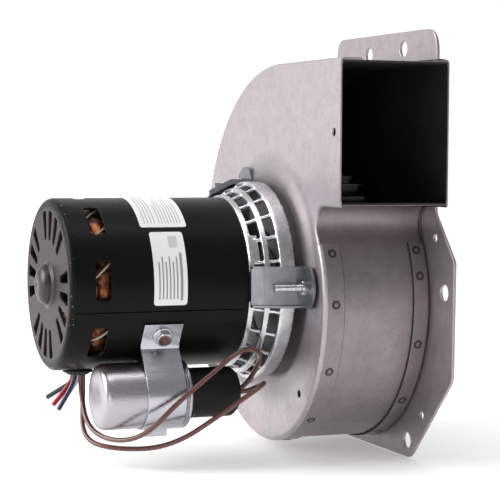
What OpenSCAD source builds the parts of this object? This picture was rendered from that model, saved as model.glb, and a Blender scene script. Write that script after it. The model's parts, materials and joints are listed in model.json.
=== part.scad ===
// Combustion fan: a sheet-metal scroll housing, an electric motor on three bracket
// legs, a run capacitor strapped under the motor, and the impeller inside.
//
// +X points out of the duct outlet, +Y runs along the motor axis away from the motor,
// and +Z is up. The origin is on the axis, at the rear face of the mounting plate.
// All sizes are in millimetres.

/* [Housing] */
// Radius of the scroll band's smallest arc, outer face
scroll_r = 60; // [59.5:0.5:61]
// Step between the scroll's four arc centres
scroll_step = 14; // [13.5:0.5:14.5]
// Width of the scroll band along the axis
scroll_w = 54.5; // [54:0.5:56]
// Thickness of the housing's sheet
sheet_t = 1; // [0.9:0.1:1.1]
// Distance from the axis to the end of the outlet duct
outlet_x = 87; // [85:1:90]
// Height of the outlet duct's floor above the axis
outlet_z = 40.3; // [39.8:0.1:40.8]
// Thickness of the mounting plate
plate_t = 1.5; // [1.4:0.1:1.6]
// Radius of the air inlet
inlet_r = 38; // [36:1:39]
// Radius of the large mounting holes
hole_r = 4; // [3.5:0.1:4.5]

/* [Motor] */
// Outer radius of the motor shell
shell_r = 42; // [42:0.01:42.02]
// Wall of the motor shell
shell_t = 1.2; // [1.1:0.05:1.25]
// Length of the motor shell
shell_len = 85.9; // [85.5:0.1:86.2]
// Distance from the mounting plate's rear face to the shell's front edge
shell_front = 85; // [84.8:0.1:85.2]
// Radius of the shaft
shaft_r = 3.97; // [3.95:0.01:3.98]
// Number of ribs in the front shield's cage
cage_ribs = 24; // [24:12:24]

/* [Impeller] */
// Outer radius of the impeller
impeller_r = 55; // [53:1:56]
// Number of impeller blades
blade_count = 30; // [24:2:32]

/* [Capacitor] */
// Radius of the capacitor can
can_r = 16; // [15.8:0.1:16.1]
// Length of the capacitor can
can_len = 43.5; // [43.4:0.1:43.6]

/* [Wires] */
// Radius of each wire over its insulation
wire_r = 1.2; // [1.1:0.05:1.2]

/* [Hidden] */
$fn = 96;

// Air gap left between fixed pieces that fit closely
fit = 0.05;
// Amount by which a cutter passes the face it cuts
over = 1;

// Housing stack along the axis, from the mounting plate towards the motor
rear_y = -plate_t - sheet_t;
band_y = rear_y - scroll_w;
front_y = band_y - sheet_t;

// Centre of the scroll spiral, which sits a little off the motor axis
scroll_c = [2.6, -0.8];
// Radius of the cutoff, where the scroll meets the outlet floor
nose_r = 10;
// Depth of the side plates' flanges over the band, front and rear
front_flange = 10;
rear_flange = 8;
// Height at which the flanges start, below the cutoff
flange_start_z = 21;

// Raised round panel in the middle of the front plate
panel_h = 1.5;
panel_r = 59.4;
panel_foot_r = 61.4;
panel_y = front_y - panel_h;
shaft_window_r = 12;

// Bracket legs between the motor and the front plate
bracket_angles = [0, 120, 240];
bracket_w = 20;
bracket_t = 1.2;
bracket_x = 50.1;
screw_x = 55.2;
screw_r = 1.9;
foot_end_r = 12.5;
tab_w = 14;

// Motor landmarks along the axis
shell_y = -shell_front;
shell_back_y = shell_y - shell_len;
shell_in = shell_r - shell_t;
bell_face_y = shell_back_y - 3;
boss_y = bell_face_y - 5.5;
core_y = -148;
core_len = 32;
core_in = 22.8;
rotor_r = 22.3;
pocket_r = 7.7;

// Capacitor axis, under the motor and towards the outlet side
can_c = [28.4, -52.2];
can_y = -158;
can_end_y = can_y + can_len;
boot_r = 12.5;
boot_end_y = -87;
strap_y = -137;
strap_w = 19.5;
strap_t = 0.8;
tab_angle = -32.5;
tab_len = 13.5;
strap_screw_y = -127;

// Lead hole in the underside of the shell
grommet_y = -158.7;
grommet_r = 6;
grommet_bore = 4.2;

// Ventilation windows near the shell's rear edge
vent_y = -161.7;
vent_w = 7.5;
vent_first = 6;
vent_count = 8;
vent_span = 26;

// ---- Helpers ----

// Points on an arc, without its last point
function arc(c, r, a0, a1, n) =
    [for (i = [0:n - 1]) let (a = a0 + (a1 - a0) * i / n) c + r * [cos(a), sin(a)]];

// Quadratic curve through three control points, at t from 0 to 1
function bend(a, b, c, t) = (1 - t) * (1 - t) * a + 2 * t * (1 - t) * b + t * t * c;

// Smooth path: one quadratic curve round each inner control point
function smooth(p, n) =
    let (last = len(p) - 1)
    concat([p[0]],
           [for (k = [1:last - 1], i = [0:n])
               let (from = (k == 1) ? p[0] : (p[k - 1] + p[k]) / 2,
                    to = (k == last - 1) ? p[last] : (p[k] + p[k + 1]) / 2)
               if (!(k > 1 && i == 0) && !(k == 1 && i == 0)) bend(from, p[k], to, i / n)]);

function unit(v) = v / norm(v);

// Direction of a path at one of its points
function heading(p, i) =
    unit(p[min(i + 1, len(p) - 1)] - p[max(i - 1, 0)]);

// Points of one ring round a path, square to its heading
function ring_points(c, dir, r, sides) =
    let (side = unit(cross(dir, [1, 0, 0])), lift = cross(side, dir))
    [for (s = [0:sides - 1]) c + r * (cos(360 * s / sides) * side + sin(360 * s / sides) * lift)];

// Round cable along a path
module cable(path, r = wire_r, sides = 8) {
    n = len(path);
    rings = [for (i = [0:n - 1]) each ring_points(path[i], heading(path, i), r, sides)];
    walls = [for (i = [0:n - 2], s = [0:sides - 1], half = [0, 1])
        let (a = i * sides + s, b = i * sides + (s + 1) % sides)
        half == 0 ? [a, b, b + sides] : [a, b + sides, a + sides]];
    start_cap = [[for (s = [sides - 1:-1:0]) s]];
    end_cap = [[for (s = [0:sides - 1]) (n - 1) * sides + s]];
    polyhedron(rings, concat(walls, start_cap, end_cap), convexity = 6);
}

// Sheet between two places along the axis, drawn as seen from the motor side
module slab(y0, y1) {
    translate([0, y1, 0]) rotate([90, 0, 0]) linear_extrude(y1 - y0) children();
}

// Turned solid about the motor axis, drawn as radius and place along the axis
module turned() {
    rotate([-90, 0, 0]) rotate_extrude() children();
}

// Part of a ring about the motor axis, between two angles
module ring_sector(r0, r1, y0, y1, a0, a1) {
    rotate([0, -a1, 0]) rotate([-90, 0, 0]) rotate_extrude(angle = a1 - a0)
        translate([r0, y0]) square([r1 - r0, y1 - y0]);
}

// Straight tube or rod along the axis
module tube(r0, r1, y0, y1, c = [0, 0]) {
    translate([c[0], y1, c[1]]) rotate([90, 0, 0]) difference() {
        cylinder(r = r1, h = y1 - y0);
        if (r0 > 0) translate([0, 0, -over]) cylinder(r = r0, h = y1 - y0 + 2 * over);
    }
}

module rod(r, y0, y1, c = [0, 0]) {
    translate([c[0], y1, c[1]]) rotate([90, 0, 0]) cylinder(r = r, h = y1 - y0);
}

// Hexagonal prism along the axis
module hex(r, y0, y1, c = [0, 0]) {
    translate([c[0], y1, c[1]]) rotate([90, 0, 0]) cylinder(r = r, h = y1 - y0, $fn = 6);
}

// Turns its children about the motor axis, from +X towards +Z
module at_angle(a) {
    rotate([0, -a, 0]) children();
}

// ---- Housing ----

// Scroll outline, moved outwards by d and open at the outlet end
function scroll_points(d, x_end) =
    let (s = scroll_step / 2,
         c0 = scroll_c + [s, -s],
         c1 = scroll_c + [-s, -s],
         c2 = scroll_c + [-s, s],
         c3 = scroll_c + [s, s],
         nose_z = outlet_z - nose_r,
         reach = scroll_r + nose_r,
         lean = asin((nose_z - c0[1]) / reach),
         nose_c = c0 + reach * [cos(lean), sin(lean)],
         top_z = c3[1] + scroll_r + 3 * scroll_step + d)
    concat([[x_end, outlet_z - d]],
           arc(nose_c, nose_r - d, 90, 180 + lean, 12),
           arc(c0, scroll_r + d, lean, 0, 8),
           arc(c1, scroll_r + scroll_step + d, 0, -90, 22),
           arc(c2, scroll_r + 2 * scroll_step + d, -90, -180, 22),
           arc(c3, scroll_r + 3 * scroll_step + d, -180, -270, 22),
           [[c3[0], top_z], [x_end, top_z]]);

module scroll_shape(d, x_end = outlet_x) {
    polygon(scroll_points(d, x_end));
}

// Flange over the band's edge, from just below the cutoff round to the outlet
module flange(y0, y1) {
    slab(y0, y1) difference() {
        scroll_shape(fit + sheet_t);
        scroll_shape(fit, outlet_x + over);
        translate([40, flange_start_z]) square([60, outlet_z + over - flange_start_z]);
    }
}

module front_side_plate() {
    color("gainsboro") {
        difference() {
            slab(front_y, band_y) scroll_shape(fit + sheet_t);
            rod(panel_foot_r, front_y - over, band_y + over);
            rod(2, front_y - over, band_y + over, [80, 74.6]);
            rod(2, front_y - over, band_y + over, [41.2, -53.5]);
        }
        flange(band_y, band_y + front_flange);
        difference() {
            turned() polygon([[shaft_window_r, panel_y], [panel_r, panel_y],
                              [panel_foot_r, front_y], [panel_foot_r, band_y],
                              [panel_r - 0.6, panel_y + sheet_t],
                              [shaft_window_r, panel_y + sheet_t]]);
            for (a = bracket_angles) at_angle(a)
                rod(screw_r + 0.2, panel_y - over, band_y + over, [screw_x, 0]);
        }
    }
}

module scroll_band() {
    color("rosybrown") slab(band_y, rear_y) difference() {
        scroll_shape(0);
        scroll_shape(-sheet_t, outlet_x + over);
    }
}

// Rear side plate with its flange and the inlet's inward lip
module rear_side_plate() {
    lip = 7;
    color("silver") {
        difference() {
            slab(rear_y, -plate_t) scroll_shape(fit + sheet_t);
            rod(inlet_r, rear_y - over, -plate_t + over);
        }
        flange(rear_y - rear_flange, rear_y);
        tube(inlet_r, inlet_r + sheet_t, rear_y - lip, rear_y);
    }
}

// Corner points of the mounting plate with the radius of each corner
plate_corners = [
    [[-41, 125.2], 8], [[74.3, 125.2], 12], [[74.3, 36], 4], [[94, 13.5], 4],
    [[93.2, -43.5], 8], [[50.5, -87], 8], [[-50, -87], 8], [[-108, -43.5], 8],
    [[-108, 13.5], 4], [[-72, 78], 6], [[-41, 101], 4]];

// One rounded corner between its neighbours
function corner_points(p, i) =
    let (n = len(p),
         c = p[i][0],
         r = p[i][1],
         to_prev = unit(p[(i + n - 1) % n][0] - c),
         to_next = unit(p[(i + 1) % n][0] - c),
         half = acos(to_prev * to_next) / 2,
         cut = r / tan(half),
         start = c + cut * to_prev,
         end = c + cut * to_next)
    [for (k = [0:6]) bend(start, c, end, k / 6)];

plate_holes = [[38.2, 116.6], [-1.5, 115.2], [84.4, -1.8], [46.8, -78.6], [-100.5, -14.5]];
pilot_holes = [[74.5, 24.1], [62.4, -63.9]];
pilot_r = 2;

module mounting_plate() {
    color("silver") difference() {
        slab(-plate_t, 0) polygon([for (i = [0:len(plate_corners) - 1])
                                   each corner_points(plate_corners, i)]);
        rod(inlet_r, -plate_t - over, over);
        for (p = plate_holes) rod(hole_r, -plate_t - over, over, p);
        for (p = pilot_holes) rod(pilot_r, -plate_t - over, over, p);
    }
}

// Fibre ring that closes the front plate's window round the shaft
module shaft_seal() {
    color("dimgray") tube(shaft_r + 0.4, shaft_window_r + 4, panel_y - 1.5, panel_y);
}

// ---- Legs and fixings ----

// Bracket section beyond its inner line, t thick towards the outside
module bracket_side(inner, t) {
    polygon(concat(inner, [for (i = [len(inner) - 1:-1:0]) inner[i] + [t, 0]]));
}

// One leg: a web that follows the cage, two low outward sides, a foot on the front
// plate and a tab trapped between the shell and the front shield
module bracket() {
    half = bracket_w / 2;
    foot_y = panel_y - bracket_t;
    low_x = shell_r + 1.5;
    web_end = low_x + bracket_t;
    knee_y = -71.6;
    side_h = 1.8;
    tab_x = shell_r - 2.6;
    inner = [[low_x, shell_y + fit], [bracket_x, knee_y], [bracket_x, panel_y]];
    difference() {
        union() {
            translate([0, 0, -half]) linear_extrude(bracket_w) bracket_side(inner, bracket_t);
            for (z = [-half, half - bracket_t])
                translate([0, 0, z]) linear_extrude(bracket_t)
                    bracket_side(inner, bracket_t + side_h);
            slab(foot_y, panel_y) intersection() {
                translate([bracket_x + 1.4, 0]) circle(r = foot_end_r);
                translate([bracket_x, -half]) square([foot_end_r + 2, bracket_w]);
            }
            translate([tab_x, shell_y + fit, -tab_w / 2])
                cube([web_end - tab_x, bracket_t, tab_w]);
        }
        rod(screw_r + 0.3, foot_y - over, panel_y + over, [screw_x, 0]);
    }
}

module mount_brackets() {
    color("lightsteelblue") for (a = bracket_angles) at_angle(a) bracket();
}

// Screws whose heads sit inside the housing and whose ends point at the motor
module mount_screws() {
    head_y = panel_y + sheet_t;
    color("silver") for (a = bracket_angles) at_angle(a) {
        hex(3.4, head_y, head_y + 2.4, [screw_x, 0]);
        rod(screw_r, head_y - 19, head_y, [screw_x, 0]);
    }
}

module mount_nuts() {
    nut_y = panel_y - bracket_t;
    color("lightgray") for (a = bracket_angles) at_angle(a) difference() {
        hex(3.9, nut_y - 3.1, nut_y, [screw_x, 0]);
        rod(screw_r + fit, nut_y - 3.1 - over, nut_y + over, [screw_x, 0]);
    }
}

// ---- Motor ends ----

// Cast front shield: a flared cage of ribs and rings, with a spider for the bearing
module front_end_shield() {
    spigot_r = shell_in - fit;
    hub_y0 = -94;
    hub_y1 = -79.8;
    rib_t = 1.6;
    rim_y = panel_y - 4.8;
    color("lightgray") difference() {
        union() {
            turned() polygon([[38.4, shell_y - 3], [spigot_r, shell_y - 3],
                              [spigot_r, shell_y], [43, shell_y],
                              [43.4, shell_y + 2.6], [38.4, shell_y + 2.6]]);
            turned() polygon([[44, -78], [46.2, -78], [46.9, -75.6], [44, -75.6]]);
            turned() polygon([[47.6, -71.3], [49.4, -71.3], [50, -70.6],
                              [50, rim_y + 0.8], [49.2, rim_y], [47.6, rim_y]]);
            for (i = [0:cage_ribs - 1]) at_angle(i * 360 / cage_ribs)
                translate([0, 0, -rib_t / 2]) linear_extrude(rib_t)
                    polygon([[40.3, shell_y + 1.2], [42.6, shell_y + 1.2], [49, -71],
                             [49, -68.5], [48.2, -68.5], [41, shell_y + 3.4]]);
            ring_sector(42, 43.9, shell_y + 0.6, -79.2, 16, 34);
            for (a = [45:90:315]) at_angle(a)
                translate([10, shell_y - 3, -3]) cube([29.5, 4.4, 6]);
            tube(0, 11, hub_y0, hub_y1);
        }
        rod(pocket_r, hub_y0 - over, -81.3);
        rod(shaft_r + 0.5, hub_y0 - over, hub_y1 + over);
        for (a = bracket_angles) at_angle(a)
            translate([shell_r - 2.7, shell_y - 0.1, -tab_w / 2 - 0.1])
                cube([12, bracket_t + 0.3, tab_w + 0.2]);
    }
}

// Rolled steel shell with its seam, vent windows and lead hole
module motor_shell() {
    color("#1c1b1d") difference() {
        tube(shell_in, shell_r, shell_back_y, shell_y);
        for (i = [0:vent_count - 1])
            if (i != 6) ring_sector(shell_in - over, shell_r + over, vent_y, vent_y + vent_w,
                                    vent_first + i * 360 / vent_count - vent_span / 2,
                                    vent_first + i * 360 / vent_count + vent_span / 2);
        translate([0, grommet_y, -shell_r - over]) cylinder(r = grommet_r, h = 4);
        at_angle(-15) translate([shell_r - 0.3, shell_back_y - over, -0.25])
            cube([over, shell_len + 2 * over, 0.5]);
        at_angle(tab_angle) translate([shell_in - over, strap_screw_y, 0])
            rotate([0, 90, 0]) cylinder(r = 2.2, h = 4);
    }
}

// Rear end bell: rounded rim, radial slots in four groups and a boss for the bearing
module rear_end_bell() {
    rim_r = 3;
    wall = 1.8;
    boss_r = 9.8;
    slot_pitch = 18;
    group_turn = -17;
    color("dimgray") difference() {
        turned() polygon(concat(
            [[0, boss_y + 1.4], [pocket_r, boss_y + 1.4], [pocket_r, -165.5], [11, -165.5],
             [11, bell_face_y + wall], [38.75, bell_face_y + wall],
             [38.75, shell_back_y + 6], [shell_in - fit, shell_back_y + 6],
             [shell_in - fit, shell_back_y], [shell_r, shell_back_y]],
            arc([shell_r - rim_r, bell_face_y + rim_r], rim_r, 0, -90, 6),
            [[shell_r - rim_r, bell_face_y], [boss_r + 0.8, bell_face_y],
             [boss_r, bell_face_y - 0.8]],
            arc([boss_r - 3, boss_y + 3], 3, 0, -90, 6),
            [[boss_r - 3, boss_y], [0, boss_y]]));
        for (g = [0:3], k = [-1.5:1:1.5]) at_angle(group_turn + 90 * g + slot_pitch * k)
            slab(bell_face_y - over, bell_face_y + wall + over)
                polygon([[22, -1.6], [36, -3], [36, 3], [22, 1.6]]);
    }
}

// ---- Motor insides ----

// Laminated core with closed slots for the windings
module stator_core() {
    slots = 24;
    color("slategray") slab(core_y, core_y + core_len) difference() {
        circle(r = shell_in - fit);
        circle(r = core_in);
        for (i = [0:slots - 1]) rotate(i * 360 / slots) translate([25, -1.6]) square([10, 3.2]);
    }
}

// Wound wire: bars through the slots and a bulging end turn at each end
module stator_windings() {
    slots = 24;
    out = 0.2;
    color("peru") {
        for (side = [0, 1]) translate([0, side * (2 * core_y + core_len), 0]) mirror([0, side, 0])
            turned() polygon([[25.2, core_y - out], [34.8, core_y - out], [38.2, core_y - 4],
                              [38, core_y - 10], [35, core_y - 13.8], [29, core_y - 13.8],
                              [25.2, core_y - 9]]);
        slab(core_y - 1, core_y + core_len + 1)
            for (i = [0:slots - 1]) rotate(i * 360 / slots)
                translate([25.3, -1.5]) square([9.4, 3]);
    }
}

module thermal_protector() {
    color("#e8e2d0") translate([-10, core_y - 19, 27]) cube([20, 4.8, 8]);
}

// Self-aligning sleeve bearing: a barrel with a running bore
module sleeve_bearing(y0, y1) {
    barrel_r = pocket_r - fit;
    mid = (y0 + y1) / 2;
    tilt = asin((y1 - y0) / 2 / barrel_r);
    bore_r = shaft_r + fit;
    color("darkgoldenrod") turned()
        polygon(concat([[bore_r, y1], [bore_r, y0]],
                       arc([0, mid], barrel_r, -tilt, tilt, 8),
                       [[barrel_r * cos(tilt), y1]]));
}

module rear_bearing() {
    sleeve_bearing(-177, -169.4);
}

module front_bearing() {
    sleeve_bearing(-89.6, -82);
}

module rear_oil_felt() {
    color("tan") tube(shaft_r + 0.5, pocket_r - fit, -169.3, -166);
}

module front_oil_felt() {
    color("tan") tube(shaft_r + 0.5, pocket_r - fit, -93, -89.7);
}

module rear_bearing_retainer() {
    color("gray") tube(shaft_r + 0.8, 10.8, -165.45, -164.95);
}

module front_bearing_retainer() {
    color("gray") tube(shaft_r + 0.8, 10.8, -94.55, -94.05);
}

// ---- Labels ----

label_gap = 0.02;
label_t = 0.2;

module rating_label() {
    color("white") ring_sector(shell_r + label_gap, shell_r + label_gap + label_t,
                               -136.7, -113.2, 43, 125);
}

module wiring_label() {
    color("white") ring_sector(shell_r + label_gap, shell_r + label_gap + label_t,
                               -133.2, -116.5, -11, 39);
}

// ---- Capacitor ----

// Drawn can, open at the end that faces the housing, with a crimped rim
module capacitor_can() {
    wall = 0.5;
    color("silver") translate([can_c[0], 0, can_c[1]]) difference() {
        turned() polygon(concat(
            [[0, can_y], [can_r - 3, can_y]],
            arc([can_r - 3, can_y + 4], 3.6, -70, -10, 5),
            [[can_r, can_y + 4.4], [can_r, can_end_y - 2.9], [can_r + 0.8, can_end_y - 2.5],
             [can_r + 0.8, can_end_y], [0, can_end_y]]));
        rod(can_r - wall - 3, can_y + wall, can_y + 6);
        rod(can_r - wall, can_y + 5, can_end_y + over);
    }
}

// Wound film element inside the can
module capacitor_core() {
    color("gold") rod(can_r - 1, can_y + 6, can_end_y - 5, can_c);
}

module capacitor_lid() {
    color("#222222") rod(can_r - 0.6, can_end_y - 3, can_end_y - 0.2, can_c);
}

// Two blade terminals on the lid
module capacitor_terminals() {
    color("lightgray") for (side = [-1, 1])
        translate([can_c[0] + 5 * side - 0.4, can_end_y - 0.2, can_c[1] - 3.1])
            cube([0.8, 12, 6.2]);
}

// Moulded boot over the terminals, closed at the end the wires leave from
module capacitor_boot() {
    wall = 1.4;
    skirt_y = can_end_y + 0.1;
    chamfer = 3;
    color("#1a1a1a") translate([can_c[0], 0, can_c[1]]) difference() {
        turned() polygon([[0, skirt_y], [boot_r, skirt_y], [boot_r, boot_end_y - chamfer],
                          [boot_r - chamfer, boot_end_y], [0, boot_end_y]]);
        rod(boot_r - wall, skirt_y - over, boot_end_y - 6);
        for (side = [-1, 1]) rod(wire_r + 0.2, boot_end_y - 8, boot_end_y + over, [4 * side, 0]);
    }
}

// Strip of even thickness along a line of points, drawn to the left of the line
function ribbon(p, t) =
    let (n = len(p),
         dirs = [for (i = [0:n - 1]) unit(p[min(i + 1, n - 1)] - p[max(i - 1, 0)])],
         left = [for (i = [0:n - 1]) p[i] + t * [-dirs[i][1], dirs[i][0]]])
    concat(p, [for (i = [n - 1:-1:0]) left[i]]);

// Spring strap: a tab screwed to the shell, a straight run, a loop round the can and
// a folded lug underneath
module capacitor_strap() {
    loop_r = can_r + 0.1;
    tab_r = shell_r + fit;
    along = [-sin(tab_angle), cos(tab_angle)];
    tab_mid = (tab_r + strap_t) * [cos(tab_angle), sin(tab_angle)];
    knee = tab_mid - tab_len / 2 * along;
    from_can = knee - can_c;
    leave = atan2(from_can[1], from_can[0]) - acos((loop_r + strap_t) / norm(from_can));
    line = concat([tab_mid + tab_len / 2 * along, knee + 0.6 * along, knee],
                  arc(can_c, loop_r + strap_t, leave, -290, 48));
    lug_angle = -97;
    color("gainsboro") difference() {
        union() {
            slab(strap_y, strap_y + strap_w) polygon(ribbon(line, -strap_t));
            slab(strap_y + 4, strap_y + strap_w - 4) translate(can_c) rotate(lug_angle)
                translate([loop_r + strap_t / 2, -0.8]) square([4, 1.6]);
        }
        at_angle(tab_angle) translate([shell_r - over, strap_screw_y, 0])
            rotate([0, 90, 0]) cylinder(r = 2.3, h = 6);
    }
}

// Hex-washer screw through the strap's tab into the shell
module strap_screw() {
    under = shell_r + fit + strap_t + 0.02;
    color("silver") at_angle(tab_angle) translate([0, strap_screw_y, 0]) rotate([0, 90, 0]) {
        translate([0, 0, shell_in]) cylinder(r = 2.1, h = under - shell_in + 0.2);
        translate([0, 0, under]) cylinder(r = 5, h = 0.9);
        translate([0, 0, under + 0.9]) cylinder(r = 4.2, h = 3, $fn = 6);
    }
}

// ---- Wires ----

// Rubber ring in the shell's lead hole
module lead_grommet() {
    color("#151515") translate([0, grommet_y, 0]) difference() {
        union() {
            translate([0, 0, -46]) cylinder(r = grommet_r - fit, h = 6.2);
            translate([0, 0, -44.2]) cylinder(r = grommet_r + 2, h = 2.1);
        }
        translate([0, 0, -50]) cylinder(r = grommet_bore, h = 14);
    }
}

// Where wire number i passes through the grommet
function wire_exit(i, z) =
    let (r = (i == 5) ? 0 : 2.7, a = 18 + 72 * i)
    [r * cos(a), grommet_y + r * sin(a), z];

// Cut lead that leaves the grommet and hangs away behind the motor
module lead(i, tip) {
    start = wire_exit(i, -39.6);
    cable(smooth([start, wire_exit(i, -43), wire_exit(i, -47),
                  start + [tip[0] * 0.4, tip[1] * 0.4, tip[2] * 0.66], start + tip], 4));
}

module lead_green() {
    color("darkslategray") lead(2, [-5.4, -14.3, -16.9]);
}

module lead_red() {
    color("firebrick") lead(3, [1.4, -10.2, -19.6]);
}

module lead_white() {
    color("whitesmoke") lead(5, [-4.2, -7.5, -19.8]);
}

module lead_blue() {
    color("midnightblue") lead(4, [2.4, -8.7, -21.4]);
}

// Capacitor wire that runs under the can, up to the cage and back into the boot
module capacitor_wire_a() {
    color("saddlebrown") cable(smooth([
        wire_exit(1, -39.6), wire_exit(1, -43), wire_exit(1, -56), [12, -160, -75],
        [29, -148, -78], [42, -124, -76], [49, -98, -58], [50, -84, -49],
        [46, -77.5, -46], [can_c[0] + 5, -77, can_c[1] + 2],
        [can_c[0] + 4, -82.5, can_c[1]], [can_c[0] + 4, boot_end_y - 1, can_c[1]],
        [can_c[0] + 4, boot_end_y - 5, can_c[1]]], 3));
}

// Capacitor wire that crosses in front of the can
module capacitor_wire_b() {
    color("saddlebrown") cable(smooth([
        wire_exit(0, -39.6), wire_exit(0, -43), wire_exit(0, -53), [14, -158, -69],
        [30, -150, -74], [49, -140, -69], [51, -124, -53], [48, -108, -42],
        [46, -90, -29], [43, -80.5, -31], [34, -75.5, -36],
        [can_c[0] - 3.4, -76.5, can_c[1] + 6], [can_c[0] - 4, -82, can_c[1]],
        [can_c[0] - 4, boot_end_y - 1, can_c[1]],
        [can_c[0] - 4, boot_end_y - 5, can_c[1]]], 3));
}

// ---- Rotor and shaft ----

// Shaft with a groove for each retaining clip
module shaft() {
    color("lightgray") difference() {
        rod(shaft_r, -177, -36);
        for (y = [-163.95, -96.45]) tube(3.3, shaft_r + over, y, y + 0.9);
    }
}

module rotor_core() {
    color("slategray") tube(shaft_r + 0.02, rotor_r, core_y, core_y + core_len);
}

// Cast rings that short the rotor bars at both ends
module rotor_end_rings() {
    color("silver") for (y = [core_y - 3, core_y + core_len])
        tube(15, rotor_r - 0.5, y, y + 3);
}

module thrust_washers() {
    color("black") for (y = [-164.85, -95.5]) tube(shaft_r + 0.1, 6.5, y, y + 0.8);
}

// C-shaped clips in the shaft's grooves
module retaining_clips() {
    color("gray") for (y = [-163.9, -96.4]) difference() {
        tube(3.35, 6, y, y + 0.8);
        translate([0, y - over, -2.4]) cube([8, 4, 4.8]);
    }
}

module fan_hub() {
    color("darkgray") {
        tube(shaft_r + 0.02, 8, -78, -68);
        tube(7.5, 11, -75.5, -74.1);
    }
}

// Pressed aluminium fan that pulls air through the motor
module cooling_fan() {
    blades = 8;
    pitch = 32;
    color("silver") {
        tube(8.05, 23, -74, -73);
        for (i = [0:blades - 1]) at_angle(i * 360 / blades)
            translate([20, -73.5, 0]) rotate([pitch, 0, 0]) translate([0, -0.5, -6])
                cube([21, 1, 12]);
    }
}

// ---- Impeller ----

impeller_y = -51;
blade_len = 36;
hub_r = 9;
eye_r = 44.5;

module impeller_hub() {
    color("darkgray") difference() {
        union() {
            tube(shaft_r + 0.02, hub_r, impeller_y - 2, -37);
            tube(hub_r - 1, 14, impeller_y + 1.02, impeller_y + 3);
        }
        translate([0, -42, 0]) cylinder(r = 2.05, h = 20);
    }
}

module hub_set_screw() {
    color("black") translate([0, -42, shaft_r + 0.1]) cylinder(r = 2, h = hub_r - shaft_r);
}

module impeller_back_disc() {
    color("silver") tube(hub_r + 0.05, impeller_r, impeller_y, impeller_y + 1);
}

// Points of one forward-curved blade, drawn as radius and lead angle
function blade_points(offset) =
    [for (k = [0:5])
        let (r = eye_r + (impeller_r - 0.4 - eye_r) * k / 5,
             a = -14 * pow(k / 5, 2) + 6 * k / 5 + offset)
        r * [cos(a), sin(a)]];

module impeller_blades() {
    blade_t = 0.9;
    near = blade_points(0);
    far = blade_points(blade_t);
    color("silver") slab(impeller_y + 1, impeller_y + 1 + blade_len)
        for (i = [0:blade_count - 1]) rotate(i * 360 / blade_count)
            polygon(concat(near, [for (k = [5:-1:0]) far[k]]));
}

module impeller_rim() {
    y = impeller_y + 1 + blade_len;
    color("silver") tube(eye_r + 0.5, impeller_r, y, y + 1);
}

// ---- Assembly ----

front_side_plate();
scroll_band();
rear_side_plate();
mounting_plate();
shaft_seal();
mount_brackets();
mount_screws();
mount_nuts();
front_end_shield();
motor_shell();
rear_end_bell();
stator_core();
stator_windings();
thermal_protector();
rear_bearing();
front_bearing();
rear_oil_felt();
front_oil_felt();
rear_bearing_retainer();
front_bearing_retainer();
rating_label();
wiring_label();
lead_grommet();
capacitor_can();
capacitor_core();
capacitor_lid();
capacitor_terminals();
capacitor_boot();
capacitor_strap();
strap_screw();
capacitor_wire_a();
capacitor_wire_b();
lead_green();
lead_red();
lead_white();
lead_blue();
shaft();
rotor_core();
rotor_end_rings();
thrust_washers();
retaining_clips();
cooling_fan();
fan_hub();
impeller_hub();
impeller_back_disc();
impeller_blades();
impeller_rim();
hub_set_screw();
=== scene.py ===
"""Combustion fan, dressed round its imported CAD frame.

Shapes are drawn in millimetres in the CAD frame: the motor axis is Y, +X points out of
the outlet duct and +Z is up. Angles about the motor axis are in degrees, from +X to +Z.
"""

import json
import math
import random

import bmesh
import bpy
from mathutils import Matrix, Vector

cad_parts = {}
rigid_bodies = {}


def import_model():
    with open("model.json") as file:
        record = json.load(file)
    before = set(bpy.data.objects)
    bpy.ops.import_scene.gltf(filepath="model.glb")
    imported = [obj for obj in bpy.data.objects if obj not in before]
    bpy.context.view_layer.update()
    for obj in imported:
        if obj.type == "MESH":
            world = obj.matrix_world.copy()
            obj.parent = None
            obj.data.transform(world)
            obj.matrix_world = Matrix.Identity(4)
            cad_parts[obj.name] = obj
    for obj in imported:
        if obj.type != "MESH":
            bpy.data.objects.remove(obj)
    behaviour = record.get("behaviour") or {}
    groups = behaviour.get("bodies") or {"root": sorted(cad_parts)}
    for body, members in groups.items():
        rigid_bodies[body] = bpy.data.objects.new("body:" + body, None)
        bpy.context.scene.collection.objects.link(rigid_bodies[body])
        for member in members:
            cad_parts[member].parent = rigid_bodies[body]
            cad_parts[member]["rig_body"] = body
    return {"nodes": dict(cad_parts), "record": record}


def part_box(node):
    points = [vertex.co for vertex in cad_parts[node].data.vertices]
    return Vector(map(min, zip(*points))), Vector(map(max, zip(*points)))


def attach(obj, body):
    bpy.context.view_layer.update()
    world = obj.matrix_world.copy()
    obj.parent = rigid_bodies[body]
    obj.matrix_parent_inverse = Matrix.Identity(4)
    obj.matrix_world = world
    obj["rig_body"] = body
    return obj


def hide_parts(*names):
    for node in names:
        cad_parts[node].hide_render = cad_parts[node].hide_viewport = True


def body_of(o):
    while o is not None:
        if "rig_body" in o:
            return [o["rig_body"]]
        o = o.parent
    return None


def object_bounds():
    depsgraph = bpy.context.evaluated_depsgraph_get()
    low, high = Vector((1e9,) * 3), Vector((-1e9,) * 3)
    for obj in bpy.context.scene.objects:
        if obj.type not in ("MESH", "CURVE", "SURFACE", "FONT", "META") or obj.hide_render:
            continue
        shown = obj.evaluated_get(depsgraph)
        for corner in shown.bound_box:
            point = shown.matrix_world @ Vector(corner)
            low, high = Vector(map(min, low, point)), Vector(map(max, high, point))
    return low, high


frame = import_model()
cad_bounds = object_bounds()

MM = 0.001
WRAP_STEP = 1.6  # longest flat step of a bent sheet
AXIS_R = 0.001  # stands in for a radius of zero
SHARP = 35  # angle from which an edge stays sharp
SLOT = {part["node"]: part["material_slot"] for part in frame["record"]["subparts"]}
DRESSED = set()  # nodes that a piece already stands for


# ---- Geometry helpers ----


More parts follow.
